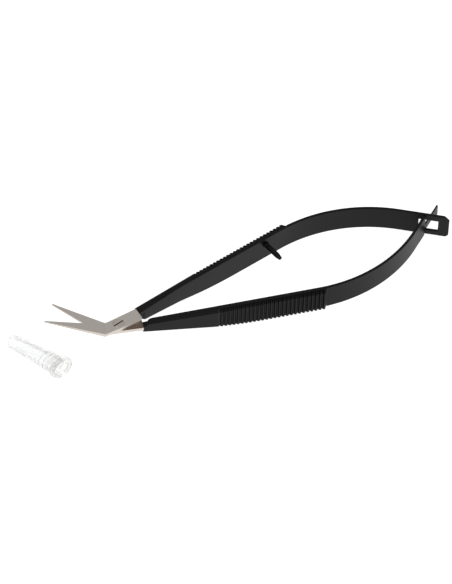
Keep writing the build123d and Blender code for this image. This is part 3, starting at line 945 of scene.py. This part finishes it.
def white_paper():
    """Matt white paper: a glow that lights nothing makes it show white, and it keeps its shadows."""
    seen_glow = 0.8          # straight from the camera, and through clear plastic
    mirrored_glow = 0.65     # in steel and in the coating
    made, tree = material("Pale_floor")
    seen = node(tree, "ShaderNodeLightPath").outputs
    shown = node(tree, "ShaderNodeMath", {
        0: seen["Is Camera Ray"], 1: seen["Is Glossy Ray"]}, operation="MAXIMUM")
    shown = node(tree, "ShaderNodeMath", {
        0: shown.outputs[0], 1: seen["Is Transmission Ray"]}, operation="MAXIMUM")
    paper = node(tree, "ShaderNodeBsdfDiffuse", {"Color": from_hex("c8c8c8")})
    strength = node(tree, "ShaderNodeMapRange", {
        "Value": seen["Is Glossy Ray"], "To Min": seen_glow, "To Max": mirrored_glow})
    glow = node(tree, "ShaderNodeEmission", {
        "Color": from_hex("ffffff"), "Strength": strength.outputs["Result"]})
    lit = node(tree, "ShaderNodeAddShader", {0: paper.outputs["BSDF"], 1: glow.outputs["Emission"]})
    surface = node(tree, "ShaderNodeMixShader", {
        "Fac": shown.outputs[0], 1: paper.outputs["BSDF"], 2: lit.outputs["Shader"]})
    node(tree, "ShaderNodeOutputMaterial", {"Surface": surface.outputs["Shader"]})
    return made


def wide_floor():
    """Square floor, level with the object's foot."""
    half = 3000 * mm
    data = bpy.data.meshes.new("floor")
    corners = [(-half, -half, 0), (half, -half, 0), (half, half, 0), (-half, half, 0)]
    data.from_pydata(corners, [], [(0, 1, 2, 3)])
    data.materials.append(white_paper())
    made = bpy.data.objects.new("floor", data)
    bpy.context.scene.collection.objects.link(made)
    return made


def white_world():
    """World that shows white, also through clear plastic, and lights the object at half of that."""
    white = 1.0
    lighting = white / 2
    made = bpy.data.worlds.new("Studio")
    made.use_nodes = True
    tree = made.node_tree
    tree.nodes.clear()
    seen = node(tree, "ShaderNodeLightPath").outputs
    through = node(tree, "ShaderNodeMath", {
        0: seen["Is Camera Ray"], 1: seen["Is Transmission Ray"]}, operation="MAXIMUM")
    strength = node(tree, "ShaderNodeMapRange", {
        "Value": through.outputs[0], "To Min": lighting, "To Max": white})
    background = node(tree, "ShaderNodeBackground", {
        "Color": from_hex("ffffff"), "Strength": strength.outputs["Result"]})
    node(tree, "ShaderNodeOutputWorld", {"Surface": background.outputs["Background"]})
    return made


def softbox(name, place, aim, size, power):
    """Square area light that points from a place at an aim."""
    lamp = bpy.data.lights.new(name, "AREA")
    lamp.shape = "SQUARE"
    lamp.size = size
    lamp.energy = power
    made = bpy.data.objects.new(name, lamp)
    made.location = place
    made.rotation_euler = (aim - place).to_track_quat("-Z", "Y").to_euler()
    bpy.context.scene.collection.objects.link(made)


def long_lens_camera():
    """Camera that stands off at its angles round the upper plate, and aims beside it."""
    stage = bpy.context.scene.snips_stage
    around = stage.view_turn
    above = stage.view_height
    right = Vector((cos(around), -sin(around), 0))
    up = Vector((sin(around) * sin(above), cos(around) * sin(above), cos(above)))
    plate = Vector((pivot.x, pivot.y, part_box("slot_blade")[1].z))
    place = plate + right.cross(up) * stage.distance
    aim = plate + right * stage.aim_right + up * stage.aim_up
    backwards = (place - aim).normalized()
    sideways = up.cross(backwards).normalized()
    turned = Matrix((sideways, backwards.cross(sideways), backwards)).transposed().to_4x4()
    made = bpy.data.objects.new("Camera", bpy.data.cameras.new("Camera"))
    made.data.lens = stage.lens
    made.data.sensor_width = 36
    made.matrix_world = Matrix.Translation(place) @ turned
    bpy.context.scene.collection.objects.link(made)
    return made


class SNIPS_OT_stage(bpy.types.Operator):
    """Set the floor, the lights and the camera"""

    bl_idname = "snips.stage"
    bl_label = "Stage"

    def execute(self, context):
        floor = wide_floor()
        context.scene.world = white_world()
        middle = Vector((0, 0, 0))
        softbox("Left_softbox", Vector((-0.9, -0.5, 0.7)), aim=middle, size=0.7, power=5)
        softbox("Right_softbox", Vector((0.9, -0.8, 0.9)), aim=middle, size=0.9, power=6)
        context.scene.camera = long_lens_camera()
        context.scene.view_settings.view_transform = "Standard"
        return {"FINISHED"}


class SNIPS_PT_panel(bpy.types.Panel):
    """Buttons for the pieces and the stage"""

    bl_label = "Thread Snips"
    bl_idname = "SNIPS_PT_panel"
    bl_space_type = "VIEW_3D"
    bl_region_type = "UI"
    bl_category = "Snips"

    def draw(self, context):
        for group in ("snips_arm", "snips_grip", "snips_cap", "snips_finishes", "snips_stage"):
            box = self.layout.box()
            sizes = getattr(context.scene, group)
            for name in sizes.__annotations__:
                box.prop(sizes, name)
        for operator in operators:
            self.layout.operator(operator.bl_idname)


groups = {
    "snips_arm": SnipsArmSizes,
    "snips_grip": SnipsGripSizes,
    "snips_cap": SnipsCapSizes,
    "snips_finishes": SnipsFinishes,
    "snips_stage": SnipsStage,
}
operators = (
    SNIPS_OT_blades,
    SNIPS_OT_grips,
    SNIPS_OT_ridges,
    SNIPS_OT_springs,
    SNIPS_OT_stop_pin,
    SNIPS_OT_tip_cap,
    SNIPS_OT_stage,
)


def register():
    for one in (*groups.values(), *operators, SNIPS_PT_panel):
        bpy.utils.register_class(one)
    for name, group in groups.items():
        setattr(bpy.types.Scene, name, PointerProperty(type=group))


def unregister():
    for name in groups:
        delattr(bpy.types.Scene, name)
    for one in (SNIPS_PT_panel, *reversed(operators), *reversed(groups.values())):
        bpy.utils.unregister_class(one)


def main():
    register()
    bpy.ops.snips.blades()
    bpy.ops.snips.grips()
    bpy.ops.snips.ridges()
    bpy.ops.snips.springs()
    bpy.ops.snips.stop_pin()
    bpy.ops.snips.tip_cap()
    bpy.ops.snips.stage()


if __name__ == "__main__":
    main()
